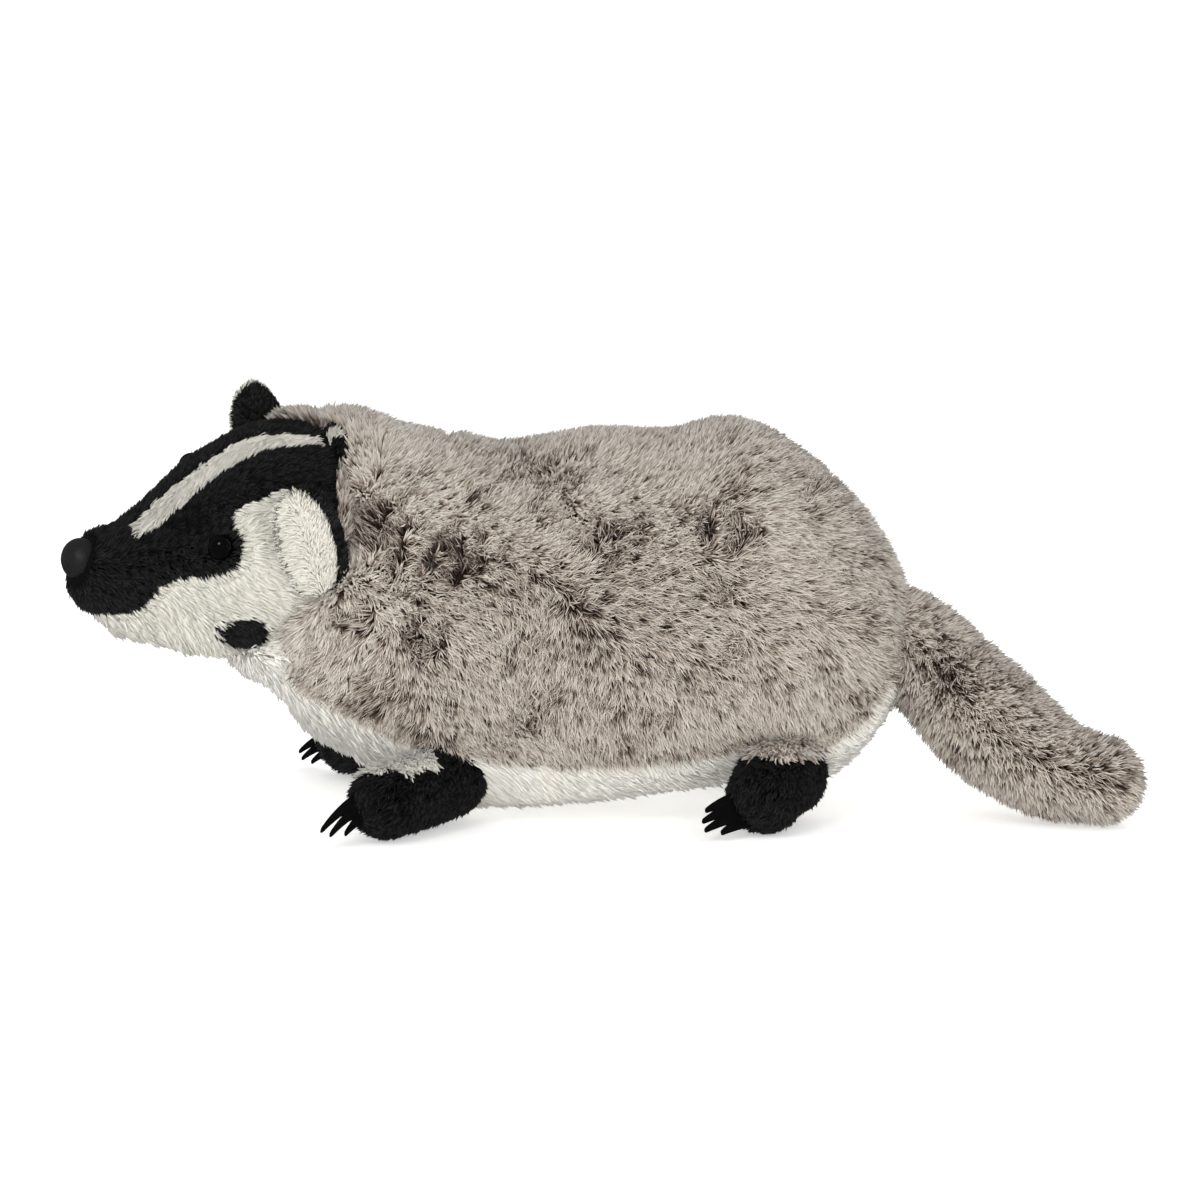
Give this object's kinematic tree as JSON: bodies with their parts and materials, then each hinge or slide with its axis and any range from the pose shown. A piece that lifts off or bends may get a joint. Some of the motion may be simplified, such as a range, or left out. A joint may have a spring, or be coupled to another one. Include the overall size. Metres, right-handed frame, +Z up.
{
  "type": "plush toy badger",
  "caption": "Stuffed plush badger lying low on splayed feet, with a grizzled back, white belly and cheeks, a black mask with a white crown stripe, felt claws and a thick tail.",
  "frame": {"origin": "on the floor under the middle of the toy's length and width", "axes": "+Z up, -X towards the nose, so +X is towards the tail, and -Y towards the toy's left side, which the picture shows"},
  "size_m": [0.3998, 0.172, 0.1575],
  "materials": {
    "grizzled_pile": "long tipped pile, dark brown roots and pale beige tips",
    "white_pile": "short off-white pile",
    "black_pile": "short black pile",
    "black_felt": "smooth black felt",
    "nose_plastic": "moulded, semi-matt",
    "eye_bead": "glossy black bead"
  },
  "bodies": {
    "root": {"torso": "grizzled_pile", "neck": "grizzled_pile", "belly": "white_pile", "tail_base": "grizzled_pile", "tail": "grizzled_pile", "nose": "nose_plastic", "head": "black_pile", "crown_stripe": "white_pile", "cheeks": "white_pile", "badge_left": "black_pile", "badge_right": "black_pile", "ear_left": "black_pile", "ear_left_lining": "white_pile", "eye_left": "eye_bead", "ear_right": "black_pile", "ear_right_lining": "white_pile", "eye_right": "eye_bead", "leg_front_left": "black_pile", "claws_front_left": "black_felt", "leg_front_right": "black_pile", "claws_front_right": "black_felt", "leg_hind_left": "black_pile", "claws_hind_left": "black_felt", "leg_hind_right": "black_pile", "claws_hind_right": "black_felt"}
  },
  "joints": []
}
